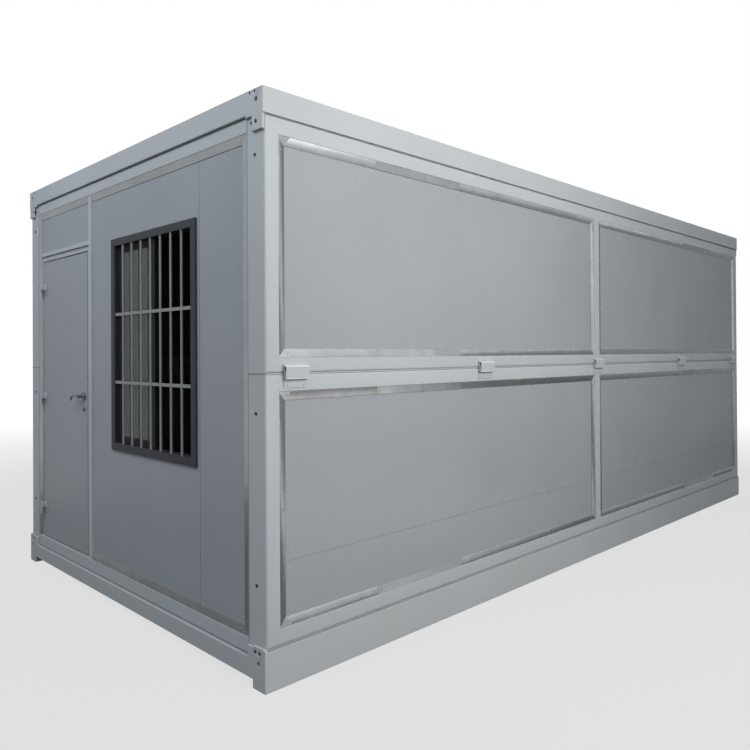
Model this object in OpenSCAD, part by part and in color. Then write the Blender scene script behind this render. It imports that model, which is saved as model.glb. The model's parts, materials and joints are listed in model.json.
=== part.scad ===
// Folding container house, standing open: two frames, four wall halves that fold at
// mid height, and two end walls that hang from hinges under the roof frame.
// Millimetres. +X runs along the house with the door end at -X, +Y across it, +Z up.
// The origin is under the middle of the base, at ground level.

/* [House] */
// Overall length over the corner fittings
house_l = 5800; // [4600:50:6000]
// Overall width over the long beams
house_w = 2500; // [2400:10:2600]
// Overall height
house_h = 2450; // [2400:10:2700]

/* [Base and roof frames] */
// Height of the long base beams
base_side_h = 170; // [150:5:200]
// Height of the end base beams
base_end_h = 84; // [79:1:94]
// How far the end base beams sit above the ground
base_end_lift = 36; // [10:1:50]
// Height of the long roof beams
roof_side_h = 110; // [105:5:140]
// Height of the end roof beams
roof_end_h = 100; // [95:1:105]
// Width of every beam seen from above
beam_w = 84; // [80:1:100]
// How far a corner fitting reaches past the post's end face along the beams
plate_t = 8; // [6:1:12]
// Width of a corner fitting's tab on the corner post
tab_w = 76; // [66:1:80]
// Height of that tab under the roof beams
tab_h = 64; // [50:1:80]
// Height of that tab over the base beams
foot_tab_h = 8; // [4:1:60]
// Radius of the holes in the corner fittings
anchor_r = 10; // [8:1:14]
// Distance of those holes from the house's side and top
hole_in = 46; // [34:1:54]
// Height of the lower holes above ground
foot_hole_z = 106; // [40:1:120]
// Depth of those holes
anchor_depth = 16; // [12:1:18]
// Thickness of the floor board
floor_t = 20; // [15:1:24]
// Depth of the floor's top below the tops of the end base beams
floor_drop = 8; // [7:1:30]
// Width of a floor cross member
cross_w = 50; // [40:5:80]
// Number of floor cross members
cross_count = 7; // [5:2:11]
// Distance from an end beam to the middle of the first floor cross member
cross_in = 400; // [200:10:600]
// Distance from an end beam to the middle of the first roof purlin
purlin_in = 120; // [80:10:400]
// Depth of the roof sheet's top below the beams
sheet_drop = 14; // [8:1:20]
// Height of a roof sheet rib
rib_h = 22; // [12:1:28]
// Spacing of the roof sheet ribs
rib_pitch = 300; // [200:10:400]
// Thickness of the ceiling board
ceiling_t = 12; // [9:1:18]

/* [Side walls] */
// How far a side wall sits behind the long beams' faces
side_inset = 4; // [2:1:8]
// How far the wall posts sit behind the corner fittings' end faces
post_inset = 12; // [10:1:14]
// Thickness of a side wall's frame
wall_t = 80; // [70:1:90]
// Height of the fold line above ground
fold_z = 1285; // [1200:5:1320]
// Width of a corner post on the long side
post_w = 72; // [64:1:100]
// Width of the middle post between the two bays
mid_post_w = 70; // [60:1:90]
// Height of a half's rail beside the base or the roof
outer_rail_h = 73; // [60:1:90]
// Height of the lower half's rail at the fold
fold_rail_low_h = 73; // [60:1:90]
// Height of the upper half's rail at the fold
fold_rail_up_h = 65; // [60:1:90]
// Width of the stop lip that closes the gap to an end wall
lip_w = 34; // [30:1:40]
// Thickness of the stop lip
lip_t = 6; // [4:1:7]
// Thickness of a sandwich panel
panel_t = 50; // [40:1:55]
// Depth of a panel's face behind its frame's face
panel_recess = 12; // [10:1:16]
// Height of the panel joint in the lower half
joint_z = 508; // [420:1:700]
// Width and depth of the groove at a panel joint or a frame seam
groove = 2.5; // [1.5:0.5:6]

/* [Trim] */
// Width of a trim strip
trim_w = 38; // [30:1:46]
// How far a strip's outer edge stands back from the frame's face
trim_back = 1.5; // [0.5:0.5:3]
// Thickness of a strip along the panel
trim_edge_t = 3; // [2:0.5:4]

/* [Fold hinges] */
// Length of a hinge cover
hood_l = 130; // [100:1:160]
// Height of a hinge cover
hood_h = 58; // [46:1:70]
// Depth of the hinge plate under the cover, from the fold line down
hinge_plate_h = 60; // [50:1:66]
// How far a hinge cover stands out
hood_out = 22; // [20:1:30]
// Sheet thickness of a hinge cover
hood_t = 3; // [2:0.5:4]

/* [End walls] */
// Thickness of an end wall's frame
end_t = 75; // [62:1:80]
// Clearance round an end wall
end_gap = 8; // [7:0.5:10]
// Clearance over and under an end wall
end_gap_z = 8; // [7.5:0.5:9]
// Clearance between an end wall and the stop lips
lip_gap = 6; // [5:0.5:8]
// Gap between an end wall's inner face and its fixed hinge knuckles
pivot_gap = 5; // [5:0.5:7]
// Height of an end wall's bottom band
band_low_h = 64; // [55:1:75]
// Height of an end wall's top band
band_top_h = 57; // [50:1:70]

/* [Doorway] */
// Place of the mullion beside the door, across the house
mullion_y = 370; // [300:1:420]
// Width of that mullion
mullion_w = 34; // [28:1:44]
// Distance from the top of the house down to the transom's middle
transom_drop = 436; // [390:1:500]
// Height of the transom
transom_h = 24; // [18:1:36]
// Width of the door jamb and head
jamb_w = 30; // [20:1:40]
// Width of the jamb at the hinge side
hinge_jamb_w = 14; // [12:1:20]
// How far the door stop reaches past the jamb
stop_w = 15; // [10:1:20]
// Thickness of the door leaf
leaf_t = 40; // [34:1:44]
// Clearance at the leaf's hinge side, top and bottom
leaf_gap = 6; // [5.5:0.5:8]
// Clearance at the leaf's lock side
lock_gap = 8; // [8:0.5:10]
// Radius of a door hinge knuckle
knuckle_r = 6; // [5.5:0.5:8]
// Number of door hinges
door_hinges = 3; // [2:1:4]
// Distance from the leaf's ends to the middles of its outer hinges
door_hinge_in = 180; // [120:5:300]
// Length of a door hinge
door_hinge_l = 80; // [60:1:130]
// Height of the handle above ground
handle_z = 1122; // [1000:1:1250]
// Distance from the leaf's lock edge to the handle's spindle
backset = 46; // [40:1:80]
// Radius of the handle's rose
rose_r = 26; // [20:1:30]
// Length of the lever
lever_l = 120; // [90:1:140]
// How far the handle stands out of the leaf
handle_out = 52; // [44:1:60]
// Distance from the handle's spindle down to its key escutcheon
key_drop = 72; // [60:1:100]

/* [Window] */
// Width of the window frame
window_w = 834; // [600:1:900]
// Height of the window frame
window_h = 1148; // [800:1:1200]
// Place of the window's middle, across the house
window_y = -315; // [-330:1:-280]
// Distance from the top of the house down to the window's middle
window_drop = 1029; // [1000:1:1100]
// Face width of the window frame
window_frame_w = 40; // [34:1:50]
// How far the window frame stands out of the wall panel
window_out = 12; // [11:1:24]
// How far the window frame covers the edge of its hole
window_lap = 10; // [6:1:16]
// Face width of a sash frame
sash_w = 32; // [26:1:40]
// Thickness of a sash
sash_t = 16; // [14:1:18]
// Depth of the outer sash behind the wall panel's face
sash_in = 12; // [8:1:14]
// Gap between the two sashes
sash_gap = 2; // [1:0.5:3]
// Share of its travel by which the inner sash stands open
sash_open = 0.96; // [0:0.02:1]
// Thickness of the glass
glass_t = 5; // [4:0.5:8]
// Radius of a guard bar
bar_r = 6.5; // [5:0.5:7.5]
// Number of upright guard bars
bar_count = 7; // [5:1:9]
// Spacing of the upright guard bars
bar_pitch = 97; // [60:1:110]
// Depth of the guard bars behind the window frame's face
bar_in = 2; // [1:1:3]
// Height of a flat guard rail
guard_rail_h = 16; // [12:1:28]
// Thickness of a flat guard rail
guard_rail_t = 6; // [4:1:8]
// Spacing of the two flat guard rails
guard_rail_pitch = 366; // [280:1:480]
// How far the middle of the two rails sits under the window's middle
guard_drop = 21; // [0:1:40]

/* [End wall hinges] */
// Number of hinges on an end wall
end_hinges = 3; // [2:1:4]
// Length of an end wall hinge
end_hinge_l = 120; // [90:1:160]
// Distance from the house's middle to the outer hinges
end_hinge_y = 800; // [600:10:950]
// Radius of an end wall hinge knuckle
end_knuckle_r = 8; // [7:0.5:9]
// How far an end wall hinge's plate reaches below its pin
end_plate_drop = 90; // [60:1:120]
// Thickness of that plate
end_plate_t = 4; // [3:0.5:6]
// Height of the neck between that plate and its knuckle
end_neck_h = 30; // [20:1:40]
// Radius of every hinge pin
pin_r = 4; // [3:0.5:4.5]
// Clearance round a hinge pin
pin_gap = 0.3; // [0.1:0.1:0.4]

/* [Hidden] */
$fn = 48;

paint = "lightgray";
trim_metal = "silver";
dark_metal = "dimgray";
past = 1; // how far a cutting shape runs past what it cuts

half_l = house_l / 2;
half_w = house_w / 2;
side_face = half_w - side_inset;         // outer face of a side wall
side_inner = side_face - wall_t;         // inner face of a side wall
post_face = half_l - post_inset;         // end face of the corner posts
wall_top = house_h - roof_side_h;
end_beam_top = base_end_lift + base_end_h;
floor_top = end_beam_top - floor_drop;
floor_low = floor_top - floor_t;
lip_inner = side_inner - lip_w;          // inner edge of the stop lips
end_beam_inner = half_l - beam_w;        // inner face of the end beams
bay_end = post_face - post_w;            // end of a bay beside the corner post
bay_mid = mid_post_w / 2;                // end of a bay beside the middle post

// Heights of an end wall and of its opening.
end_bottom = end_beam_top + end_gap_z;
end_top = house_h - roof_end_h - end_gap_z;
end_half_w = side_inner - end_gap;
end_face = post_face;                    // plane of the bands and of the trim's outer edge
end_core = post_face - lip_t - lip_gap;  // plane of the panels' outer faces
end_inner = end_core - end_t;            // plane of the wall's inner face
face_half_w = lip_inner - lip_gap;       // half width of the layer between the stop lips
trim_bottom = end_bottom + band_low_h;
trim_top = end_top - band_top_h;
open_half_w = face_half_w - trim_w;
open_bottom = trim_bottom + trim_w;
open_top = trim_top - trim_w;

// The doorway.
door_side = mullion_y + mullion_w / 2;   // mullion's edge beside the door
transom_z = house_h - transom_drop;
transom_low = transom_z - transom_h / 2;
transom_top = transom_z + transom_h / 2;
way_lock = door_side + jamb_w;           // lock side of the clear doorway
way_hinge = open_half_w - hinge_jamb_w;  // hinge side of the clear doorway
sill_z = trim_bottom;                    // bottom of the clear doorway
way_top = transom_low - jamb_w;
leaf_lock = way_lock + lock_gap;
leaf_hinge = way_hinge - leaf_gap - 2;
leaf_bottom = sill_z + leaf_gap;
leaf_top = way_top - leaf_gap;
leaf_inner = end_core - leaf_t;
door_pivot_y = (leaf_hinge + way_hinge) / 2;
door_pivot_x = -(end_face + knuckle_r + 2);

// The pivot of an end wall lies just inside its inner face and under the roof beam.
end_pivot_x = end_inner - end_knuckle_r - pivot_gap;
end_pivot_z = end_top - end_knuckle_r + 3;

// The window.
window_z = house_h - window_drop;
win_hole_w = window_w - 2 * window_lap;
win_hole_h = window_h - 2 * window_lap;
win_in_w = window_w - 2 * window_frame_w;
win_in_h = window_h - 2 * window_frame_w;
panel_joint_y = window_y - window_w / 2 - 20;

// A block from its lowest to its highest corner.
module block(lo, hi) {
    translate(lo) cube([hi[0] - lo[0], hi[1] - lo[1], hi[2] - lo[2]]);
}

// Puts what is drawn at the -X end also at the +X end.
module both_ends() {
    children();
    mirror([1, 0, 0]) children();
}

// Puts what is drawn at the -Y side also at the +Y side.
module both_sides() {
    children();
    mirror([0, 1, 0]) children();
}

// Puts what is drawn at the -Y side at the +Y side instead.
module on_side(side) {
    if (side == "left") mirror([0, 1, 0]) children();
    else children();
}

// ---- base frame ----

module base_side_beams() {
    color(paint) both_sides()
        block([-post_face + plate_t, -half_w, 0], [post_face - plate_t, -half_w + beam_w, base_side_h]);
}

module base_end_beams() {
    color(paint) both_ends()
        block([-half_l, -(half_w - beam_w), base_end_lift], [-end_beam_inner, half_w - beam_w, end_beam_top]);
}

// A fitting is a thick plate over the ends of the beams, with a tab up the corner post.
module base_corner() {
    difference() {
        union() {
            block([-half_l, -half_w, 0], [-post_face + plate_t, -half_w + beam_w, base_side_h]);
            // foot of the stop lip
            block([-half_l, -half_w + beam_w - past, end_beam_top], [-post_face + lip_t, -lip_inner, base_side_h]);
            block([-half_l, -half_w + side_inset, 0], [-post_face, -half_w + tab_w, base_side_h + foot_tab_h]);
        }
        translate([-half_l - past, -half_w + hole_in, foot_hole_z])
            rotate([0, 90, 0]) cylinder(r = anchor_r, h = anchor_depth + past);
    }
}

module base_corner_fittings() {
    color(paint) both_ends() both_sides() base_corner();
}

module floor_cross_members() {
    span = end_beam_inner - cross_in;
    color(dark_metal)
        for (i = [0 : cross_count - 1]) {
            x = -span + i * 2 * span / (cross_count - 1);
            block([x - cross_w / 2, -half_w + beam_w, 0], [x + cross_w / 2, half_w - beam_w, floor_low]);
        }
}

module floor_board() {
    color("tan")
        block([-end_beam_inner, -half_w + beam_w, floor_low], [end_beam_inner, half_w - beam_w, floor_top]);
}

// ---- roof frame ----

module roof_side_beams() {
    color(paint) both_sides()
        block([-post_face + plate_t, -half_w, wall_top], [post_face - plate_t, -half_w + beam_w, house_h]);
}

module roof_end_beams() {
    color(paint) both_ends()
        block([-half_l, -(half_w - beam_w), house_h - roof_end_h], [-end_beam_inner, half_w - beam_w, house_h]);
}

module roof_corner() {
    difference() {
        union() {
            block([-half_l, -half_w, wall_top], [-post_face + plate_t, -half_w + beam_w, house_h]);
            // head of the stop lip
            block([-half_l, -half_w + beam_w - past, wall_top],
                  [-post_face + lip_t, -lip_inner, house_h - roof_end_h]);
            block([-half_l, -half_w + side_inset, wall_top - tab_h], [-post_face, -half_w + tab_w, house_h]);
        }
        translate([-half_l - past, -half_w + hole_in, house_h - hole_in])
            rotate([0, 90, 0]) cylinder(r = anchor_r, h = anchor_depth + past);
    }
}

module roof_corner_fittings() {
    color(paint) both_ends() both_sides() roof_corner();
}

sheet_top = house_h - sheet_drop;
sheet_base = sheet_top - rib_h;
rib_n = floor((2 * end_beam_inner - rib_pitch / 2) / rib_pitch);
rib_half = 45;
sheet_t = 4;

// The sheet's ribbed outline seen from the side of the house.
function rib_points(drop) = [
    for (i = [0 : rib_n - 1])
        let (x = (i - (rib_n - 1) / 2) * rib_pitch)
            each [[x - rib_half, sheet_base - drop], [x - rib_half / 2, sheet_top - drop],
                  [x + rib_half / 2, sheet_top - drop], [x + rib_half, sheet_base - drop]]
];

function turned(points) = [for (i = [len(points) - 1 : -1 : 0]) points[i]];

module roof_sheet() {
    outline = concat(
        [[-end_beam_inner, sheet_base]], rib_points(0), [[end_beam_inner, sheet_base]],
        [[end_beam_inner, sheet_base - sheet_t]], turned(rib_points(sheet_t)),
        [[-end_beam_inner, sheet_base - sheet_t]]
    );
    color(paint)
        translate([0, half_w - beam_w, 0]) rotate([90, 0, 0])
            linear_extrude(height = house_w - 2 * beam_w) polygon(outline);
}

ceiling_low = house_h - roof_end_h + 14;

module roof_purlins() {
    span = end_beam_inner - purlin_in;
    color(dark_metal)
        for (i = [0 : cross_count - 1]) {
            x = -span + i * 2 * span / (cross_count - 1);
            block([x - cross_w / 2, -half_w + beam_w, ceiling_low + ceiling_t],
                  [x + cross_w / 2, half_w - beam_w, sheet_base - sheet_t]);
        }
}

module ceiling_board() {
    color("white")
        block([-end_beam_inner, -half_w + beam_w, ceiling_low], [end_beam_inner, half_w - beam_w, ceiling_low + ceiling_t]);
}

// ---- trim strips ----

// A strip's cross-section: across the strip, then depth behind the frame's face.
function strip_section(depth) = [
    [0, trim_back], [trim_w, depth - trim_edge_t], [trim_w, depth], [0, depth]
];

// One mitred strip of length l along +X, its outer edge on the X axis, its width along +Y
// and its depth along +Z.
module strip(l, depth) {
    intersection() {
        rotate([90, 0, 90]) linear_extrude(height = l) polygon(strip_section(depth));
        linear_extrude(height = depth) polygon([[0, 0], [l, 0], [l - trim_w, trim_w], [trim_w, trim_w]]);
    }
}

// A ring of four strips round an opening of w by h, flat on the XY plane.
module trim_ring(w, h, depth) {
    strip(w, depth);
    translate([w, 0, 0]) rotate([0, 0, 90]) strip(h, depth);
    translate([w, h, 0]) rotate([0, 0, 180]) strip(w, depth);
    translate([0, h, 0]) rotate([0, 0, -90]) strip(h, depth);
}

// ---- side walls: drawn at the -Y side ----

// Heights of a half's bottom, top and bay opening.
function half_z(half) = half == "lower" ? [base_side_h, fold_z] : [fold_z, wall_top];
function bay_z(half) = half == "lower"
    ? [base_side_h + outer_rail_h, fold_z - fold_rail_low_h]
    : [fold_z + fold_rail_up_h, wall_top - outer_rail_h];

module side_frame(half) {
    z = half_z(half);
    b = bay_z(half);
    difference() {
        union() {
            block([-post_face, -side_face, z[0]], [post_face, -side_inner, z[1]]);
            both_ends() block([-post_face, -side_inner - past, z[0]], [-post_face + lip_t, -lip_inner, z[1]]);
        }
        both_ends()
            block([-bay_end, -side_face - past, b[0]], [-bay_mid, -side_inner + past, b[1]]);
        // grooves along the seams with the base, the fold and the roof
        for (edge = [z[0] - past, z[1] - groove]) {
            block([-half_l, -half_w, edge], [half_l, -side_face + groove, edge + groove + past]);
            both_ends()
                block([-half_l, -half_w, edge], [-post_face + groove, -lip_inner + past, edge + groove + past]);
        }
    }
}

module side_panel(z0, z1) {
    both_ends()
        block([-bay_end, -side_face + panel_recess, z0], [-bay_mid, -side_face + panel_recess + panel_t, z1]);
}

module side_panels(half) {
    b = bay_z(half);
    if (half == "upper") side_panel(b[0], b[1]);
    else difference() {
        side_panel(b[0], b[1]);
        // joint between the two boards of each bay
        both_ends()
            block([-bay_end - past, -side_face + panel_recess - past, joint_z - groove / 2],
                  [-bay_mid + past, -side_face + panel_recess + groove, joint_z + groove / 2]);
    }
}

module side_trim(half) {
    b = bay_z(half);
    both_ends()
        translate([-bay_end, -side_face, b[0]]) rotate([90, 0, 0]) mirror([0, 0, 1])
            trim_ring(bay_end - bay_mid, b[1] - b[0], panel_recess);
}

module right_wall_lower_frame() { color(paint) side_frame("lower"); }
module right_wall_upper_frame() { color(paint) side_frame("upper"); }
module right_wall_lower_panels() { color(paint) side_panels("lower"); }
module right_wall_upper_panels() { color(paint) side_panels("upper"); }
module right_wall_lower_trim() { color(trim_metal) side_trim("lower"); }
module right_wall_upper_trim() { color(trim_metal) side_trim("upper"); }
module left_wall_lower_frame() { color(paint) on_side("left") side_frame("lower"); }
module left_wall_upper_frame() { color(paint) on_side("left") side_frame("upper"); }
module left_wall_lower_panels() { color(paint) on_side("left") side_panels("lower"); }
module left_wall_upper_panels() { color(paint) on_side("left") side_panels("upper"); }
module left_wall_lower_trim() { color(trim_metal) on_side("left") side_trim("lower"); }
module left_wall_upper_trim() { color(trim_metal) on_side("left") side_trim("upper"); }

// A fold hinge: a knuckle on the wall's face at the fold, under a bent cover that is
// fixed above it and open below.
hood_top = fold_z + hood_h * 2 / 3;
hinge_places = [0.029, 0.269, 0.501, 0.754, 0.971]; // along the house, as parts of its length
fold_knuckle_r = (hood_out - hood_t) / 2 - 0.5;

module fold_hinge() {
    translate([-hood_l / 2, 0, 0]) {
        // cover: back plate, sloping front and the lip under it
        rotate([90, 0, 90]) linear_extrude(height = hood_l)
            polygon([
                [-side_face, hood_top], [-side_face - hood_out, hood_top - hood_out / 2],
                [-side_face - hood_out, hood_top - hood_h],
                [-side_face - hood_out + hood_t, hood_top - hood_h],
                [-side_face - hood_out + hood_t, hood_top - hood_out / 2 - hood_t],
                [-side_face - hood_t, hood_top - hood_t * 2],
                [-side_face - hood_t, fold_z + fold_knuckle_r],
                [-side_face, fold_z + fold_knuckle_r]
            ]);
        translate([hood_t, -side_face - fold_knuckle_r, fold_z])
            rotate([0, 90, 0]) cylinder(r = fold_knuckle_r, h = hood_l - 2 * hood_t);
        // plate of the lower half
        block([hood_t, -side_face - hood_t - 1, fold_z - hinge_plate_h],
              [hood_l - hood_t, -side_face, fold_z - fold_knuckle_r / 2]);
    }
}

module fold_hinges() {
    for (place = hinge_places) translate([-half_l + place * house_l, 0, 0]) fold_hinge();
}

module right_wall_fold_hinges() { color(paint) fold_hinges(); }
module left_wall_fold_hinges() { color(paint) on_side("left") fold_hinges(); }

// ---- end walls: drawn at the -X end ----

module end_frame() {
    difference() {
        union() {
            block([-end_core, -end_half_w, end_bottom], [-end_inner, end_half_w, end_top]);
            // bands that fill the face between the stop lips
            block([-end_face, -face_half_w, end_bottom], [-end_core + past, face_half_w, trim_bottom]);
            block([-end_face, -face_half_w, trim_top], [-end_core + past, face_half_w, end_top]);
        }
        block([-end_core - past, -open_half_w, open_bottom], [-end_inner + past, open_half_w, open_top]);
    }
}

module end_trim() {
    translate([-end_face, -face_half_w, trim_bottom])
        rotate([90, 0, 90])
            trim_ring(2 * face_half_w, trim_top - trim_bottom, end_face - end_core);
}

// An end wall panel between two places across the house and two heights.
module end_panel(y0, y1, z0, z1) {
    block([-end_core, y0, z0], [-end_core + panel_t, y1, z1]);
}

// A groove down the face of an end wall at a panel joint.
module end_joint(y) {
    block([-end_core - past, y - groove / 2, open_bottom - past], [-end_core + groove, y + groove / 2, open_top + past]);
}

module front_wall_frame() {
    color(paint)
        difference() {
            end_frame();
            block([-end_core - past, door_side, sill_z], [-end_inner + past, open_half_w, open_bottom + past]);
        }
}

// The trim leaves out the foot of the doorway and stops at the mullion.
module front_wall_trim() {
    color(trim_metal) {
        difference() {
            end_trim();
            block([-end_face, mullion_y - mullion_w / 2, trim_bottom], [-end_core, door_side, trim_top]);
            block([-end_face, door_side - past, trim_bottom], [-end_core, face_half_w, open_bottom]);
        }
        translate([-end_face, face_half_w, trim_bottom])
            linear_extrude(height = trim_w)
                polygon([for (p = strip_section(end_face - end_core)) [p[1], -p[0]]]);
    }
}

module front_wall_mullion() {
    color(paint) {
        block([-end_face + 2, mullion_y - mullion_w / 2, trim_bottom], [-end_core, door_side, trim_top]);
        block([-end_core - past, mullion_y - mullion_w / 2, open_bottom], [-end_inner, door_side, open_top]);
        block([-end_face + 2, door_side - past, transom_low], [-end_inner, open_half_w, transom_top]);
    }
}

module door_jambs() {
    color(paint) {
        block([-end_core, door_side, sill_z], [-end_inner, way_lock, transom_low]);
        block([-end_core, way_hinge, sill_z], [-end_inner, open_half_w, transom_low]);
        block([-end_core, way_lock - past, way_top], [-end_inner, way_hinge + past, transom_low]);
        // stops behind the leaf
        stop_x = -leaf_inner + leaf_gap;
        block([stop_x, way_lock - past, sill_z], [-end_inner, way_lock + stop_w, way_top + past]);
        block([stop_x, way_hinge - stop_w, sill_z], [-end_inner, way_hinge + past, way_top + past]);
        block([stop_x, way_lock, way_top - stop_w], [-end_inner, way_hinge, way_top + past]);
    }
}

module panel_over_door() {
    color(paint) end_panel(door_side, open_half_w, transom_top, open_top);
}

module window_panel() {
    color(paint)
        difference() {
            end_panel(panel_joint_y, mullion_y - mullion_w / 2, open_bottom, open_top);
            block([-end_core - past, window_y - win_hole_w / 2, window_z - win_hole_h / 2],
                  [-end_core + panel_t + past, window_y + win_hole_w / 2, window_z + win_hole_h / 2]);
            end_joint(panel_joint_y);
        }
}

module front_corner_panel() {
    color(paint)
        difference() {
            end_panel(-open_half_w, panel_joint_y, open_bottom, open_top);
            end_joint(panel_joint_y);
        }
}

// ---- window ----

// A flat ring in the plane of the end wall, centred on the window, from depth d0 to d1
// behind the panels' outer faces.
module window_ring(w, h, bar_w, d0, d1) {
    translate([-end_core + d0, window_y, window_z])
        rotate([90, 0, 90]) linear_extrude(height = d1 - d0) difference() {
            square([w, h], center = true);
            square([w - 2 * bar_w, h - 2 * bar_w], center = true);
        }
}

module window_frame() {
    color(dark_metal) {
        window_ring(window_w, window_h, window_frame_w, -window_out, 0);
        window_ring(win_hole_w, win_hole_h, window_frame_w - window_lap, -past, panel_t);
    }
}

// Depths of the two sashes behind the panels' faces, and a sash's width with its overlap.
sash_depth = [sash_in, sash_in + sash_t + sash_gap];
sash_full_w = win_in_w / 2 + sash_w / 2;

// The middle of a sash across the house: 0 is the outer one beside the door, 1 slides.
sash_travel = win_in_w - sash_full_w;
function sash_y(i) = window_y + (i == 0 ? 0.5 : sash_open - 0.5) * sash_travel;

module sash(i) {
    translate([-end_core + sash_depth[i], sash_y(i), window_z])
        rotate([90, 0, 90]) linear_extrude(height = sash_t) difference() {
            square([sash_full_w, win_in_h], center = true);
            square([sash_full_w - 2 * sash_w, win_in_h - 2 * sash_w], center = true);
        }
}

module window_sashes() {
    color(dark_metal) for (i = [0, 1]) sash(i);
}

module window_glass() {
    color([0.6, 0.7, 0.75, 0.4])
        for (i = [0, 1])
            translate([-end_core + sash_depth[i] + (sash_t - glass_t) / 2, sash_y(i), window_z])
                rotate([90, 0, 90]) linear_extrude(height = glass_t)
                    square([sash_full_w - 2 * sash_w, win_in_h - 2 * sash_w], center = true);
}

module window_guard() {
    guard_x = -end_core - window_out + bar_r + bar_in;
    color(trim_metal) {
        for (i = [0 : bar_count - 1])
            translate([guard_x, window_y + (i - (bar_count - 1) / 2) * bar_pitch, window_z - win_in_h / 2])
                cylinder(r = bar_r, h = win_in_h);
        for (z = [-guard_drop - guard_rail_pitch / 2, -guard_drop + guard_rail_pitch / 2])
            block([guard_x - guard_rail_t / 2, window_y - win_in_w / 2, window_z + z - guard_rail_h / 2],
                  [guard_x + guard_rail_t / 2, window_y + win_in_w / 2, window_z + z + guard_rail_h / 2]);
    }
}

// ---- end wall hinges: drawn at the -X end ----

// Repeats a hinge at its places along the top of an end wall.
module end_hinge_places() {
    for (i = [0 : end_hinges - 1])
        translate([0, -end_hinge_y + i * 2 * end_hinge_y / (end_hinges - 1), 0]) children();
}

// A cylinder of radius r from y0 to y1 on an end wall's pivot line.
module pivot_rod(r, y0, y1) {
    translate([-end_pivot_x, y0, end_pivot_z]) rotate([-90, 0, 0]) cylinder(r = r, h = y1 - y0);
}

third = end_hinge_l / 6; // half the length of the middle knuckle
knuckle_gap = 0.5;       // gap along the pin between two knuckles

module end_hinge_leaves() {
    end_hinge_places()
        difference() {
            union() {
                pivot_rod(end_knuckle_r, -third, third);
                block([-end_inner, -third, end_pivot_z - end_neck_h], [-end_pivot_x, third, end_pivot_z]);
                block([-end_inner, -end_hinge_l / 2, end_pivot_z - end_plate_drop],
                      [-end_inner + end_plate_t, end_hinge_l / 2, end_pivot_z - end_neck_h / 2]);
            }
            pivot_rod(pin_r + pin_gap, -third - past, third + past);
        }
}

module end_hinge_brackets() {
    beam_low = house_h - roof_end_h;
    end_hinge_places() {
        pivot_rod(pin_r, -end_hinge_l / 2, end_hinge_l / 2);
        for (s = [-1, 1]) {
            y0 = s > 0 ? third + knuckle_gap : -end_hinge_l / 2;
            y1 = s > 0 ? end_hinge_l / 2 : -third - knuckle_gap;
            pivot_rod(end_knuckle_r, y0, y1);
            block([-end_pivot_x - 2, y0, end_pivot_z], [-end_pivot_x + end_knuckle_r, y1, beam_low + 6]);
        }
        block([-end_beam_inner, -end_hinge_l / 2, beam_low + 2],
              [-end_pivot_x + end_knuckle_r, end_hinge_l / 2, beam_low + 10]);
    }
}

module front_wall_hinge_leaves() { color(trim_metal) end_hinge_leaves(); }
module front_wall_hinge_brackets() { color(trim_metal) end_hinge_brackets(); }
module rear_wall_hinge_leaves() { color(trim_metal) mirror([1, 0, 0]) end_hinge_leaves(); }
module rear_wall_hinge_brackets() { color(trim_metal) mirror([1, 0, 0]) end_hinge_brackets(); }

// ---- door ----

module door_leaf() {
    color(paint)
        difference() {
            block([-end_core, leaf_lock, leaf_bottom], [-leaf_inner, leaf_hinge, leaf_top]);
            translate([-end_core - past, leaf_lock + backset, handle_z])
                rotate([0, 90, 0]) cylinder(r = 8, h = leaf_t + 2 * past);
        }
}

// One handle on the face of the leaf at depth 0, standing out along -X.
module lever_handle() {
    rotate([0, -90, 0]) {
        cylinder(r = rose_r, h = 8);
        cylinder(r = 9, h = handle_out - 6);
        translate([0, 0, handle_out - 15]) cylinder(r = 11, h = 15);
    }
    translate([-handle_out, 0, -9]) cube([13, lever_l - 11, 18]);
    translate([-handle_out, lever_l - 11, 0]) rotate([0, 90, 0]) cylinder(r = 9, h = 13);
    // key escutcheon under the lever
    translate([0, 0, -key_drop]) rotate([0, -90, 0]) cylinder(r = 15, h = 7);
}

module door_handle() {
    color(trim_metal)
        translate([-end_core, leaf_lock + backset, handle_z]) {
            lever_handle();
            translate([leaf_t, 0, 0]) mirror([1, 0, 0]) lever_handle();
            rotate([0, 90, 0]) translate([0, 0, -past]) cylinder(r = 7.7, h = leaf_t + 2 * past);
        }
}

// Repeats a hinge at its heights on the door.
module door_hinge_places() {
    low = leaf_bottom + door_hinge_in;
    high = leaf_top - door_hinge_in;
    for (i = [0 : door_hinges - 1])
        translate([0, 0, low + i * (high - low) / (door_hinges - 1)]) children();
}

// A cylinder of radius r from z0 to z1 on the door's pivot line.
module door_rod(r, z0, z1) {
    translate([door_pivot_x, door_pivot_y, z0]) cylinder(r = r, h = z1 - z0);
}

// The upper knuckle of each hinge and its plate turn with the leaf.
module door_hinge_leaves() {
    color(trim_metal)
        door_hinge_places()
            difference() {
                union() {
                    door_rod(knuckle_r, knuckle_gap, door_hinge_l / 2);
                    block([door_pivot_x - knuckle_r, door_pivot_y - 12, knuckle_gap],
                          [door_pivot_x - knuckle_r + 4, door_pivot_y, door_hinge_l / 2]);
                    block([door_pivot_x - knuckle_r, door_pivot_y - 16, knuckle_gap],
                          [-end_core, door_pivot_y - 12, door_hinge_l / 2]);
                    block([-end_core - 3, door_pivot_y - 50, knuckle_gap],
                          [-end_core, door_pivot_y - 12, door_hinge_l / 2]);
                }
                door_rod(pin_r + pin_gap, -past, door_hinge_l / 2 + past);
            }
}

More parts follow.
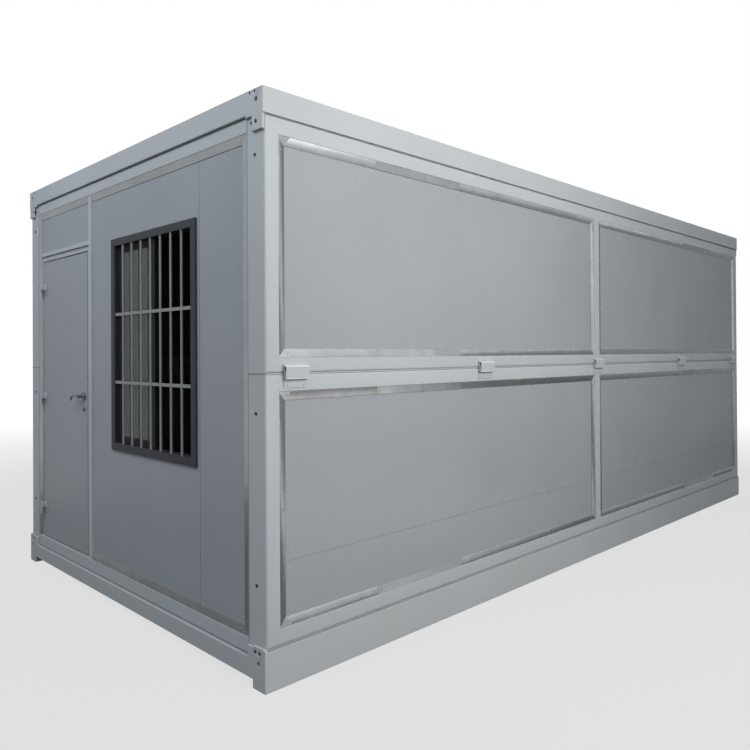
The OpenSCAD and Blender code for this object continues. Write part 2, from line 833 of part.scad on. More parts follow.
// The lower knuckle, the pin and the plate on the jamb's edge stay with the wall.
module door_hinge_brackets() {
    color(trim_metal)
        door_hinge_places() {
            door_rod(knuckle_r, -door_hinge_l / 2, -knuckle_gap);
            door_rod(pin_r, -door_hinge_l / 2, door_hinge_l / 2 + 2);
            block([door_pivot_x - knuckle_r, door_pivot_y, -door_hinge_l / 2],
                  [door_pivot_x - knuckle_r + 4, door_pivot_y + 12, -knuckle_gap]);
            block([door_pivot_x - knuckle_r, door_pivot_y + 8, -door_hinge_l / 2],
                  [-end_core, door_pivot_y + 12, -knuckle_gap]);
        }
}

// ---- rear wall ----

module rear_wall_frame() { color(paint) mirror([1, 0, 0]) end_frame(); }
module rear_wall_trim() { color(trim_metal) mirror([1, 0, 0]) end_trim(); }

module rear_wall_panels() {
    board = 2 * open_half_w / 3;
    color(paint)
        mirror([1, 0, 0]) difference() {
            end_panel(-open_half_w, open_half_w, open_bottom, open_top);
            for (y = [-board / 2, board / 2]) end_joint(y);
        }
}

base_side_beams();
base_end_beams();
base_corner_fittings();
floor_cross_members();
floor_board();
roof_side_beams();
roof_end_beams();
roof_corner_fittings();
roof_sheet();
roof_purlins();
ceiling_board();
right_wall_lower_frame();
right_wall_lower_panels();
right_wall_lower_trim();
right_wall_upper_frame();
right_wall_upper_panels();
right_wall_upper_trim();
right_wall_fold_hinges();
left_wall_lower_frame();
left_wall_lower_panels();
left_wall_lower_trim();
left_wall_upper_frame();
left_wall_upper_panels();
left_wall_upper_trim();
left_wall_fold_hinges();
front_wall_frame();
front_wall_trim();
front_wall_mullion();
door_jambs();
panel_over_door();
window_panel();
front_corner_panel();
window_frame();
window_sashes();
window_glass();
window_guard();
front_wall_hinge_leaves();
front_wall_hinge_brackets();
door_leaf();
door_handle();
door_hinge_leaves();
door_hinge_brackets();
rear_wall_frame();
rear_wall_trim();
rear_wall_panels();
rear_wall_hinge_leaves();
rear_wall_hinge_brackets();
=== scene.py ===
"""Looks for the folding container house: finishes for the CAD nodes and the small fittings."""
import itertools
import json
import math

import bpy
from mathutils import Matrix, Vector

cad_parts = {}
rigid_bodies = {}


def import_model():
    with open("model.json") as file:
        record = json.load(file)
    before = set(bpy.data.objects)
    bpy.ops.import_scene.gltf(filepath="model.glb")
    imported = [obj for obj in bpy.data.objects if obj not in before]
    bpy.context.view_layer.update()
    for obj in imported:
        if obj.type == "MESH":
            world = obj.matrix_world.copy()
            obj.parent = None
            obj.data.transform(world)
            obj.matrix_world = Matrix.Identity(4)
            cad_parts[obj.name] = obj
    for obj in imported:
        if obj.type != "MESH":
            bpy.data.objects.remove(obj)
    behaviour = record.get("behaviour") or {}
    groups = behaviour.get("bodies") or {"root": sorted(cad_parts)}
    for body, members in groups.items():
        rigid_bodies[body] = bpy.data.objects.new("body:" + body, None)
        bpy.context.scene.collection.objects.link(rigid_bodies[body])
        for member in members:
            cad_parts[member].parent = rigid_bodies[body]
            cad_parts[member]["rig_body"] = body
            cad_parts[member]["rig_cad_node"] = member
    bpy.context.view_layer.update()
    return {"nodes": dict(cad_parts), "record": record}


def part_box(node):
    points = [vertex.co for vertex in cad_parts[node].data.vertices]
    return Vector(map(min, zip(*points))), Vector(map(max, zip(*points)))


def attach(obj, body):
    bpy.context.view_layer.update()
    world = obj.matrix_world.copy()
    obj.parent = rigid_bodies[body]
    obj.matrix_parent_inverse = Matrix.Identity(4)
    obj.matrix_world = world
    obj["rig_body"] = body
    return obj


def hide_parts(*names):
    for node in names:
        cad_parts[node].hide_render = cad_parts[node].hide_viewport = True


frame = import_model()
bpy.ops.object.select_all(action="DESELECT")
NODES = frame["nodes"]
SCENE = bpy.context.scene
AXIS_X, AXIS_Y, AXIS_Z = range(3)


# -------- shader nodes

def new_finish(name, colour, roughness, metallic=0.0, specular=0.5):
    """A material with one principled shader, whose plain values sit on its own sockets."""
    material = bpy.data.materials.new(name)
    material.use_nodes = True
    tree = material.node_tree
    shader = tree.nodes["Principled BSDF"]
    shader.inputs["Base Color"].default_value = (*colour, 1.0)
    shader.inputs["Roughness"].default_value = roughness
    shader.inputs["Metallic"].default_value = metallic
    shader.inputs["Specular IOR Level"].default_value = specular
    return material, tree, shader


def new_node(tree, kind, inputs, **settings):
    """A node with its settings. Each input is a plain value or another node's output."""
    node = tree.nodes.new(kind)
    for setting, value in settings.items():
        setattr(node, setting, value)
    for socket, value in inputs.items():
        if isinstance(value, bpy.types.NodeSocket):
            tree.links.new(value, node.inputs[socket])
        else:
            node.inputs[socket].default_value = value
    return node


def own_place(tree):
    """Object coordinates."""
    return tree.nodes.new("ShaderNodeTexCoord").outputs["Object"]


def object_place(tree, scale=(1.0, 1.0, 1.0)):
    """Object coordinates, scaled so that a pattern can run along one axis."""
    return new_node(tree, "ShaderNodeMapping", {"Vector": own_place(tree), "Scale": scale}).outputs["Vector"]


def parts_of(tree, vector):
    """A vector's X, Y and Z."""
    return new_node(tree, "ShaderNodeSeparateXYZ", {"Vector": vector}).outputs


def noise(tree, place, scale, detail=3.0, rough=0.5, distort=0.0):
    return new_node(tree, "ShaderNodeTexNoise", {
        "Vector": place, "Scale": scale, "Detail": detail, "Roughness": rough, "Distortion": distort,
    }).outputs["Fac"]


def spread(tree, value, low, high, out_low=0.0, out_high=1.0):
    """Maps a value from one range to another, with its ends held."""
    return new_node(tree, "ShaderNodeMapRange", {
        "Value": value, "From Min": low, "From Max": high, "To Min": out_low, "To Max": out_high,
    }).outputs["Result"]


def reckoned(tree, operation, first, second):
    return new_node(tree, "ShaderNodeMath", {0: first, 1: second}, operation=operation).outputs["Value"]


def product(tree, first, second):
    return reckoned(tree, "MULTIPLY", first, second)


def larger(tree, first, second):
    return reckoned(tree, "MAXIMUM", first, second)


def measured(tree, operation, vector, other=(0.0, 0.0, 0.0)):
    """One number from a vector: its length, its distance from a point or its share of a direction."""
    return new_node(tree, "ShaderNodeVectorMath", {0: vector, 1: other}, operation=operation).outputs["Value"]


def blended(tree, amount, first, second):
    """One colour turning into another. Each is a colour or a node's output."""
    first, second = ((*c, 1.0) if isinstance(c, tuple) else c for c in (first, second))
    return new_node(tree, "ShaderNodeMix", {"Factor": amount, "A": first, "B": second},
                    data_type="RGBA").outputs["Result"]


def mixed(tree, amount, first, second):
    """One shader turning into another."""
    return new_node(tree, "ShaderNodeMixShader", {0: amount, 1: first, 2: second}).outputs["Shader"]


def ray_kinds(tree, *kinds):
    """1 for the kinds of ray named, such as what the camera, a gloss or a clear pane sends, else 0."""
    path = tree.nodes.new("ShaderNodeLightPath")
    total = path.outputs[kinds[0]]
    for kind in kinds[1:]:
        total = larger(tree, total, path.outputs[kind])
    return total


def coloured(tree, shader, value, low, high, colour, other):
    """The base colour turns from one to the other as a value rises."""
    tree.links.new(blended(tree, spread(tree, value, low, high), colour, other), shader.inputs["Base Color"])


def dulled(tree, shader, value, low, high, smooth, rough):
    """The surface turns from smooth to rough as a value rises."""
    tree.links.new(spread(tree, value, low, high, smooth, rough), shader.inputs["Roughness"])


def relief(tree, shader, *heights):
    """Bump from a chain of (height, strength, distance)."""
    before = {}
    for height, strength, distance in heights:
        bump = new_node(tree, "ShaderNodeBump",
                        {"Height": height, "Strength": strength, "Distance": distance, **before})
        before = {"Normal": bump.outputs["Normal"]}
    tree.links.new(before["Normal"], shader.inputs["Normal"])


def dimmed(colour, share):
    return tuple(part * share for part in colour)


# -------- finishes

def coated_steel(name, colour, roughness, wave, dust):
    """Factory-painted sheet: slow buckles, a fine orange peel, film and road dust near the ground."""
    material, tree, shader = new_finish(name, colour, roughness, 0.0, 0.3)
    place = object_place(tree)
    slow = noise(tree, place, 1.1, 2.0, 0.5)
    fine = noise(tree, place, 240.0, 2.0)
    film = noise(tree, object_place(tree, (1.0, 1.0, 0.5)), 2.4, 4.0, 0.5)
    warmer = (colour[0] * 0.93, colour[1] * 0.92, colour[2] * 0.87)
    tint = blended(tree, spread(tree, slow, 0.35, 0.68), colour, dimmed(colour, 0.93))
    low = spread(tree, parts_of(tree, own_place(tree))["Z"], 0.0, 0.65, 1.0, 0.0)
    grime = product(tree, product(tree, low, spread(tree, film, 0.32, 0.7)), dust)
    tree.links.new(blended(tree, grime, tint, warmer), shader.inputs["Base Color"])
    dulled(tree, shader, film, 0.3, 0.75, roughness - 0.05, roughness + 0.1)
    relief(tree, shader, (slow, wave, 0.02), (fine, 0.05, 0.0006))
    return material


def polished_strip(name, colour, roughness):
    """Thin bright strip: long slow waves and dull fingermarked patches."""
    material, tree, shader = new_finish(name, colour, roughness, 1.0)
    place = object_place(tree)
    waves = noise(tree, place, 3.2, 2.0, 0.5, 0.4)
    dull = noise(tree, place, 6.0, 4.0, 0.6)
    coloured(tree, shader, dull, 0.35, 0.7, colour, dimmed(colour, 0.86))
    dulled(tree, shader, dull, 0.3, 0.7, roughness, roughness + 0.09)
    relief(tree, shader, (waves, 0.22, 0.02))
    return material


def plated_steel(name, colour, roughness):
    """Zinc plate: a faint mottle, darker in patches."""
    material, tree, shader = new_finish(name, colour, roughness, 1.0)
    mottle = noise(tree, object_place(tree), 70.0, 4.0, 0.6)
    coloured(tree, shader, mottle, 0.3, 0.7, colour, dimmed(colour, 0.66))
    dulled(tree, shader, mottle, 0.3, 0.7, roughness - 0.06, roughness + 0.12)
    relief(tree, shader, (mottle, 0.12, 0.0006))
    return material


def brushed_enamel(name, colour, roughness, dust_colour):
    """Thin enamel on bars and small frames, with dust in upright streaks."""
    material, tree, shader = new_finish(name, colour, roughness, 0.0, 0.3)
    streak = noise(tree, object_place(tree, (1.0, 1.0, 0.12)), 60.0, 4.0, 0.6)
    fine = noise(tree, object_place(tree), 420.0, 2.0)
    coloured(tree, shader, streak, 0.38, 0.8, colour, dust_colour)
    dulled(tree, shader, streak, 0.3, 0.7, roughness - 0.04, roughness + 0.12)
    relief(tree, shader, (fine, 0.1, 0.0005))
    return material


def clear_glass(name):
    """Greenish window glass with a faint greasy film."""
    material, tree, shader = new_finish(name, (0.57, 0.65, 0.63), 0.03, 0.0, 0.2)
    shader.inputs["Transmission Weight"].default_value = 0.94
    shader.inputs["IOR"].default_value = 1.45
    film = noise(tree, object_place(tree, (1.0, 1.0, 0.4)), 6.0, 4.0, 0.6)
    dulled(tree, shader, film, 0.35, 0.75, 0.02, 0.09)
    return material


def seal_rubber(name, colour):
    """Matt rubber with a fine grain."""
    material, tree, shader = new_finish(name, colour, 0.62, 0.0, 0.3)
    grain = noise(tree, object_place(tree), 500.0, 3.0)
    coloured(tree, shader, grain, 0.3, 0.7, colour, dimmed(colour, 0.8))
    dulled(tree, shader, grain, 0.3, 0.7, 0.55, 0.75)
    relief(tree, shader, (grain, 0.2, 0.0004))
    return material


def floor_ply(name, board_width):
    """Sealed plywood with long grain and a dark joint between boards."""
    material, tree, shader = new_finish(name, (0.36, 0.26, 0.17), 0.42)
    grain = noise(tree, object_place(tree, (0.25, 5.0, 1.0)), 7.0, 6.0, 0.62, 1.5)
    tone = blended(tree, spread(tree, grain, 0.3, 0.72), (0.40, 0.29, 0.19), (0.24, 0.165, 0.10))
    from_joint = reckoned(tree, "PINGPONG", parts_of(tree, own_place(tree))["X"], board_width / 2)
    joint = spread(tree, from_joint, 0.0, 0.003, 1.0, 0.0)
    tree.links.new(blended(tree, joint, tone, (0.05, 0.035, 0.025)), shader.inputs["Base Color"])
    dulled(tree, shader, grain, 0.3, 0.7, 0.36, 0.5)
    relief(tree, shader, (grain, 0.12, 0.001))
    return material


def matt_board(name, colour):
    """Matt painted board, a little uneven in tone."""
    material, tree, shader = new_finish(name, colour, 0.75, 0.0, 0.3)
    coloured(tree, shader, noise(tree, object_place(tree), 3.0, 4.0), 0.35, 0.7, colour, dimmed(colour, 0.95))
    relief(tree, shader, (noise(tree, object_place(tree), 300.0, 2.0), 0.1, 0.0005))
    return material


FRAME_PAINT = coated_steel("frame_enamel", (0.565, 0.585, 0.605), 0.40, 0.05, 0.8)
PANEL_PAINT = coated_steel("panel_enamel", (0.405, 0.423, 0.447), 0.30, 0.07, 0.7)
# near-white paint for the hinge covers' rolled edges: a painted highlight standing for the light their lips
# catch
HIGHLIGHT_EDGE_PAINT = coated_steel("rolled_edge_painted_highlight", (0.82, 0.835, 0.85), 0.30, 0.02, 0.2)
TRIM = polished_strip("bright_trim", (0.555, 0.565, 0.575), 0.22)
DARK = brushed_enamel("dark_window_enamel", (0.042, 0.045, 0.056), 0.45, (0.068, 0.070, 0.082))
SASH = brushed_enamel("sash_enamel", (0.013, 0.014, 0.018), 0.5, (0.03, 0.032, 0.036))
BARS = brushed_enamel("guard_bar_enamel", (0.36, 0.365, 0.34), 0.45, (0.26, 0.26, 0.24))
STEEL = plated_steel("zinc_plate", (0.55, 0.56, 0.57), 0.34)
# the lever is chrome; its dark colour is a painted reflection of dark surroundings
LEVER_DARK_REFLECTION_FINISH = plated_steel("handle_chrome_painted_dark_reflection", (0.30, 0.30, 0.31), 0.16)
BOLT = plated_steel("bolt_steel", (0.10, 0.10, 0.105), 0.45)
UNDERFRAME = coated_steel("underframe_primer", (0.17, 0.175, 0.18), 0.6, 0.05, 0.9)
GLASS = clear_glass("window_glass")
RUBBER = seal_rubber("pane_rubber", (0.022, 0.023, 0.025))
SEAL = seal_rubber("gap_rubber", (0.42, 0.43, 0.445))
FLOOR = floor_ply("floor_ply", 1.22)
CEILING = matt_board("ceiling_board", (0.70, 0.71, 0.71))

FINISH_OF_SLOT = {
    "frame_paint": FRAME_PAINT, "panel_paint": PANEL_PAINT, "bright_trim": TRIM, "dark_frame": DARK,
    "glass": GLASS, "steel": STEEL, "underframe": UNDERFRAME, "floor_board": FLOOR, "ceiling": CEILING,
    "handle_metal": LEVER_DARK_REFLECTION_FINISH, "guard_paint": BARS, "seal_rubber": SEAL,
}
SLOT_OF_NODE = {s["node"]: s["material_slot"] for s in frame["record"]["subparts"]}
BODY_OF_NODE = {n: b for b, members in frame["record"]["behaviour"]["bodies"].items() for n in members}


# -------- shaping tools

def select_only(*pieces):
    bpy.ops.object.select_all(action="DESELECT")
    for piece in pieces:
        piece.select_set(True)
    bpy.context.view_layer.objects.active = pieces[0]


def edit_mode():
    bpy.ops.object.mode_set(mode="EDIT")


def object_mode():
    bpy.ops.object.mode_set(mode="OBJECT")


def edit_whole(piece):
    """Edit mode with all of a piece selected."""
    select_only(piece)
    edit_mode()
    bpy.ops.mesh.select_all(action="SELECT")


def faced_outwards():
    """Turns all faces of the piece in edit mode outwards, and leaves edit mode."""
    bpy.ops.mesh.select_all(action="SELECT")
    bpy.ops.mesh.normals_make_consistent(inside=False)
    object_mode()


def picked(piece, kind, test):
    """Selects the edges or faces that pass a test, and stays in edit mode."""
    select_only(piece)
    edit_mode()
    bpy.ops.mesh.select_mode(type=kind)
    bpy.ops.mesh.select_all(action="DESELECT")
    object_mode()
    for element in piece.data.edges if kind == "EDGE" else piece.data.polygons:
        element.select = test(element)
    edit_mode()


def top_picked(piece):
    picked(piece, "FACE", lambda face: face.normal.z > 0.9)


def settled():
    """Moves the places of the selected objects into their meshes."""
    bpy.ops.object.transform_apply(location=True, rotation=True, scale=True)


def smoothed(degrees):
    """Smooth faces on the active piece, with sharp edges kept above an angle."""
    bpy.ops.object.shade_smooth_by_angle(angle=math.radians(degrees))


def painted(piece, material):
    piece.data.materials.clear()
    piece.data.materials.append(material)


def kept(piece, name, material, body):
    """Names a finished piece, gives it its finish and lets it ride on its body."""
    piece.name = piece.data.name = name
    painted(piece, material)
    select_only(piece)
    settled()
    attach(piece, body)


def discard(model):
    bpy.data.objects.remove(model, do_unlink=True)


def one_mesh(pieces):
    select_only(*pieces)
    if len(pieces) > 1:
        bpy.ops.object.join()
    return bpy.context.object


EDGE_ANGLE = 35.0        # edges sharper than this are rounded
TRIM_ANGLE = 12.0        # the same on the trim strips, whose mitres are shallow
MERGE_WITHIN = 0.00002
FLAT_WITHIN = 0.5        # faces that meet at less than this angle are one flat face
ON_CORNER = 0.0005       # how near to the outer corner a post's edge counts as on it
POST_ROUNDING = 0.010


def rounded(piece, width, steps=2, angle=EDGE_ANGLE):
    """Rounds the sharp edges and keeps the flat faces flat."""
    select_only(piece)
    smoothed(angle)
    bevel = piece.modifiers.new("rounded_edges", "BEVEL")
    bevel.width = width
    bevel.segments = steps
    bevel.limit_method = "ANGLE"
    bevel.angle_limit = math.radians(angle)
    bevel.use_clamp_overlap = False
    bevel.harden_normals = True
    bpy.ops.object.modifier_apply(modifier=bevel.name)
    return piece


def flattened(piece):
    """Merges a piece's points and makes its flat faces whole."""
    edit_whole(piece)
    bpy.ops.mesh.remove_doubles(threshold=MERGE_WITHIN)
    bpy.ops.mesh.dissolve_limited(angle_limit=math.radians(FLAT_WITHIN))
    object_mode()


def clean_copy(node):
    """A copy of a frame node with merged points and whole flat faces."""
    select_only(NODES[node])
    bpy.ops.object.duplicate()
    piece = bpy.context.object
    bpy.ops.object.parent_clear(type="CLEAR_KEEP_TRANSFORM")
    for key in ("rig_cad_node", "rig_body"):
        del piece[key]
    flattened(piece)
    return piece


def combined(piece, other, how):
    """Adds another solid to a piece, or cuts it out of it."""
    select_only(piece)
    step = piece.modifiers.new("combined", "BOOLEAN")
    step.operation = how
    step.solver = "EXACT"
    step.object = other
    bpy.ops.object.modifier_apply(modifier=step.name)
    discard(other)


def rounded_posts(piece):
    """Rounds the upright outer edges of the corner posts more than the rest."""
    box = [Vector(c) for c in piece.bound_box]
    reach = max(c.x for c in box)
    face = max(abs(c.y) for c in box)

    def on_corner(edge):
        ends = [piece.data.vertices[i].co for i in edge.vertices]
        return all(abs(e.x) > reach - ON_CORNER and abs(e.y) > face - ON_CORNER for e in ends)

    picked(piece, "EDGE", on_corner)
    bpy.ops.mesh.bevel(offset=POST_ROUNDING, segments=5, affect="EDGES")
    object_mode()


def finished_node(node, width):
    """Stands for a frame node: the same shape with clean faces and edges rounded like folded steel."""
    piece = clean_copy(node)
    if node.startswith(("right_wall", "left_wall")) and node.endswith("_frame"):
        rounded_posts(piece)
    rounded(piece, width, angle=TRIM_ANGLE if node.endswith("_trim") else EDGE_ANGLE)
    slot = SLOT_OF_NODE[node]
    material = SASH if node == "window_sashes" else FINISH_OF_SLOT[slot]
    kept(piece, node + "_finished", material, BODY_OF_NODE[node])
    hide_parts(node)


def welded(name, nodes, width, holes):
    """Beams and corner fittings as one welded frame with ground seams and sunk bolt holes."""
    piece = clean_copy(nodes[0])
    for node in nodes[1:]:
        combined(piece, clean_copy(node), "UNION")
    combined(piece, holes, "DIFFERENCE")
    flattened(piece)
    rounded(piece, width)
    slot = SLOT_OF_NODE[nodes[0]]
    kept(piece, name, FINISH_OF_SLOT[slot], BODY_OF_NODE[nodes[0]])
    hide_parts(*nodes)


def turned_to(direction, spin=0.0):
    """The turn that takes +Z to a direction."""
    turn = Vector(direction).to_track_quat("Z", "Y").to_matrix().to_4x4()
    return turn @ Matrix.Rotation(spin, 4, "Z")


def spread_out(model, places, name, material, body):
    """Copies of one model as one piece, and the model removed. A place is (point, direction, spin)."""
    made = []
    for point, direction, spin in places:
        copy = model.copy()
        copy.data = model.data.copy()
        SCENE.collection.objects.link(copy)
        copy.matrix_world = Matrix.Translation(Vector(point)) @ turned_to(direction, spin)
        made.append(copy)
    select_only(*made)
    settled()
    kept(one_mesh(made), name, material, body)
    discard(model)


# -------- models of bars, screws and rivets

def box_piece(low, high):
    """A box between two corners."""
    low, high = Vector(low), Vector(high)
    bpy.ops.mesh.primitive_cube_add(size=1.0, location=(low + high) / 2)
    piece = bpy.context.object
    piece.scale = high - low
    settled()
    return piece


def soft_bar(low, high, width):
    """A bar between two corners with well rounded edges, for rubber and pressed strips."""
    return rounded(box_piece(low, high), width, 3)


def rod_piece(start, direction, radius, length, sides=24):
    """A round bar from a point along a direction."""
    middle = Vector(start) + Vector(direction) * length / 2
    bpy.ops.mesh.primitive_cylinder_add(vertices=sides, radius=radius, depth=length, location=middle)
    rod = bpy.context.object
    rod.rotation_euler = Vector(direction).to_track_quat("Z", "Y").to_euler()
    settled()
    return rod


def upright_prism(sides, radius, height, middle_z):
    bpy.ops.mesh.primitive_cylinder_add(vertices=sides, radius=radius, depth=height,
                                        location=(0, 0, middle_z))
    return bpy.context.object


def crowned(piece, steps):
    """Steps a piece's top face inwards and up, by (inset, rise) pairs."""
    top_picked(piece)
    for thickness, rise in steps:
        bpy.ops.mesh.inset(thickness=thickness)
        bpy.ops.transform.translate(value=(0, 0, rise))
    object_mode()


def turned_profile(points, direction, place, steps=32):
    """A round piece: (radius, height) pairs spun round +Z, closed at both ends, then turned and placed."""
    bpy.ops.mesh.primitive_circle_add(vertices=steps, radius=points[0][0], fill_type="NGON",
                                      location=(0, 0, points[0][1]))
    piece = bpy.context.object
    settled()
    edit_mode()
    bpy.ops.mesh.select_mode(type="FACE")
    bpy.ops.mesh.select_all(action="SELECT")
    for (before, low), (after, high) in zip(points, points[1:]):
        bpy.ops.mesh.extrude_region_move(TRANSFORM_OT_translate={"value": (0, 0, high - low)})
        grow = after / before
        bpy.ops.transform.resize(value=(grow, grow, 1.0), center_override=(0, 0, high))
    faced_outwards()
    smoothed(32)
    piece.matrix_world = Matrix.Translation(Vector(place)) @ turned_to(direction)
    settled()
    return piece


def upright_profile(points, steps):
    return turned_profile(points, (0, 0, 1), (0, 0, 0), steps)


def rivet_model(radius, height):
    """A blind rivet: a low dome with the pulled stem's dimple in its middle."""
    rivet = upright_prism(16, radius, height * 0.4, height * 0.2)
    crowned(rivet, ((radius * 0.3, height * 0.4), (radius * 0.32, height * 0.2),
                    (radius * 0.1, -height * 0.3)))
    smoothed(50)
    return rivet


def bolt_model(across, height, washer):
    """A hexagon bolt head with a chamfered crown on a round washer."""
    plate = rounded(upright_prism(24, washer, height * 0.22, height * 0.11), height * 0.05, 1)
    head = upright_prism(6, across, height * 0.8, height * 0.6)
    crowned(head, ((across * 0.16, height * 0.12), (across * 0.3, -height * 0.05)))
    rounded(head, height * 0.05, 1)
    return one_mesh([head, plate])


def screw_model(radius, height):
    """A pan-head screw with a cross recess."""
    head = upright_profile([(radius, 0.0), (radius, height * 0.35), (radius * 0.86, height * 0.8),
                            (radius * 0.55, height)], 20)
    arm, half_slot = radius * 0.5, radius * 0.13
    for x, y in ((arm, half_slot), (half_slot, arm)):
        combined(head, box_piece((-x, -y, height * 0.45), (x, y, height * 1.4)), "DIFFERENCE")
    return head


def socket_model(radius, height):
    """A cap screw's head seen in its sunk hole, with a hexagon socket."""
    head = upright_profile([(radius, 0.0), (radius, height * 0.85), (radius * 0.9, height)], 20)
    combined(head, upright_prism(6, radius * 0.5, height, height), "DIFFERENCE")
    return head


# -------- places taken from the frame

RUN_GAP = 0.0003         # parts of a node that lie nearer than this are one run


def runs(node, axis):
    """Where a node's separate parts lie along one axis, as (low, high) pairs."""
    mesh = NODES[node].data
    spans = []
    for face in mesh.polygons:
        along = [mesh.vertices[i].co[axis] for i in face.vertices]
        spans.append((min(along), max(along)))
    spans.sort()
    joined = [list(spans[0])]
    for low, high in spans[1:]:
        if low > joined[-1][1] + RUN_GAP:
            joined.append([low, high])
        joined[-1][1] = max(joined[-1][1], high)
    return joined


def middles(node, axis):
    return [(low + high) / 2 for low, high in runs(node, axis)]


WALL_LOW, WALL_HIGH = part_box("right_wall_upper_frame")
POST_END = WALL_HIGH.x                           # end face of the corner posts
WALL_FACE = -WALL_LOW.y                          # outer face of a side wall
FOLD_Z = WALL_LOW.z                              # the line at which a side wall folds
HOUSE_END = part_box("roof_end_beams")[1].x        # end face of the frames
ROOF_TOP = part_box("roof_side_beams")[1].z
BEAM_FACE = -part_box("roof_side_beams")[0].y      # outer face of the side beams
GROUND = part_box("base_corner_fittings")[0].z
LEAF_LOW, LEAF_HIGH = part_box("door_leaf")
WINDOW_LOW, WINDOW_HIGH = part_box("window_frame")
SASH_LOW, SASH_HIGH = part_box("window_sashes")
FRONT_TRIM_LOW, FRONT_TRIM_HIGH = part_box("front_wall_trim")
REAR_TRIM_LOW, REAR_TRIM_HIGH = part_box("rear_wall_trim")
MULLION_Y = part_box("front_wall_mullion")[0].y    # the mullion's side towards the window
HINGE_LOW, HINGE_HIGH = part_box("right_wall_fold_hinges")
MID_POST_HALF = 0.035                            # half the width of a side wall's middle post
TRIM_WIDTH = 0.038                               # width of a bright strip
TRIM_EDGE, TRIM_DROP = 0.0015, 0.0075            # its outer edge's depth, and its fall towards the panel
TRIM_SLOPE = math.atan2(TRIM_DROP, TRIM_WIDTH)
TRIM_MIDDLE = TRIM_EDGE + TRIM_DROP / 2          # its middle line's depth
ENDS = SIDES = (-1.0, 1.0)
ACROSS, UP = Vector((0, 1, 0)), Vector((0, 0, 1))


# -------- welded base and roof frames

ROOF_FRAME = ("roof_corner_fittings", "roof_side_beams", "roof_end_beams")
BASE_FRAME = ("base_corner_fittings", "base_side_beams", "base_end_beams")
# screws in a corner fitting's end face: distance in from the side beam's face, and height
ROOF_BOLTS = [(BEAM_FACE - inset, ROOF_TOP - 0.136) for inset in (0.082, 0.049)]
ROOF_PINS = [(BEAM_FACE - inset, ROOF_TOP - 0.0125) for inset in (0.087, 0.056)]
BASE_BOLTS = [(BEAM_FACE - inset, GROUND + 0.151) for inset in (0.069, 0.040)]
BOLT_SINK, PIN_SINK = 0.009, 0.008               # how deep the two kinds of hole go
BOLT_HOLE, PIN_HOLE = 0.0075, 0.0055             # and their radii
WELD_WIDTH = 0.004


def fitting_places(places, depth):
    """The points at a depth in the end faces of all four fittings, as (point, outward direction, y)."""
    return [((end * (HOUSE_END - depth), side * y, z), (end, 0, 0), y)
            for end in ENDS for side in SIDES for y, z in places]


def sunk_holes(places, radius, depth):
    """Cutters for the holes, which stand 10 mm out of the face."""
    return [rod_piece(point, out, radius, depth + 0.01) for point, out, _ in fitting_places(places, depth)]


def sunk_screws(model, places, depth, name):
    spots = [(point, out, 0.4 * y) for point, out, y in fitting_places(places, depth)]
    spread_out(model, spots, name, BOLT, "house")


roof_holes = sunk_holes(ROOF_BOLTS, BOLT_HOLE, BOLT_SINK) + sunk_holes(ROOF_PINS, PIN_HOLE, PIN_SINK)
welded("roof_frame_welded", ROOF_FRAME, WELD_WIDTH, one_mesh(roof_holes))
base_holes = sunk_holes(BASE_BOLTS, BOLT_HOLE, BOLT_SINK)
welded("base_frame_welded", BASE_FRAME, WELD_WIDTH, one_mesh(base_holes))
sunk_screws(socket_model(0.0062, 0.006), ROOF_BOLTS + BASE_BOLTS, BOLT_SINK, "corner_cap_screws")
sunk_screws(socket_model(0.0045, 0.005), ROOF_PINS, PIN_SINK, "roof_edge_cap_screws")


# -------- the other frame nodes

ROUNDED = {
    "right_wall_lower_frame": 0.0012, "right_wall_upper_frame": 0.0012,
    "left_wall_lower_frame": 0.0012, "left_wall_upper_frame": 0.0012,
    "right_wall_fold_hinges": 0.0012, "left_wall_fold_hinges": 0.0012,
    "right_wall_lower_trim": 0.0007, "right_wall_upper_trim": 0.0007,
    "left_wall_lower_trim": 0.0007, "left_wall_upper_trim": 0.0007,
    "front_wall_frame": 0.003, "rear_wall_frame": 0.003,
    "front_wall_trim": 0.0007, "rear_wall_trim": 0.0007,
    "front_wall_mullion": 0.003, "door_jambs": 0.0018, "door_leaf": 0.0025,
    "window_frame": 0.0022, "window_sashes": 0.0018,
    "door_hinge_leaves": 0.0008, "door_hinge_brackets": 0.0008,
}
# nodes that the welded frames and the lever set stand for
REPLACED = (*BASE_FRAME, *ROOF_FRAME, "door_handle")
for node, width in ROUNDED.items():
    finished_node(node, width)
for node, piece in NODES.items():
    if node not in ROUNDED and node not in REPLACED:
        painted(piece, FINISH_OF_SLOT[SLOT_OF_NODE[node]])


# -------- rivets and laps on the trim strips

RIVET_PITCH, RIVET_MARGIN = 0.62, 0.058          # along a strip, and from its ends
SINK = 0.0002                                    # rivets and plates lie this far into what carries them
LAP_FROM, LAP_TO = 0.683, 1.340                  # where a long strip's middle piece lies over its neighbours
CORNER_LAP = (0.001, 0.066, 0.030)               # a corner's plate: from, to, and the slant of its cut
LAP_THICK = 0.0009
LAP_EDGE, LAP_ROUNDING = 0.0004, 0.0004          # a lap plate stays this far within its strip
CORNER_RIVET, RIVET_SHIFT = 0.046, 0.004         # the plate's rivet: along, and off the middle line
LAST_RIVET = 0.05                                # a long strip's last rivet, from its end
PAIR_INSET = 0.014                               # a pair of rivets stands this far in from a lap's end
PAIR_SHIFT = 0.0095                              # each of them stands this far off the middle line
PAIR_FALL = 0.197                                # and falls with the strip by this share of it
NO_RIVETS = (MULLION_Y - 0.02, MULLION_Y + 0.06) # the stretch by the mullion that has none


def strip_turn(inward, out):
    """A strip's own outward direction and its direction across, leaning towards the panel."""
    return (math.cos(TRIM_SLOPE) * out + math.sin(TRIM_SLOPE) * inward,
            math.cos(TRIM_SLOPE) * inward - math.sin(TRIM_SLOPE) * out)


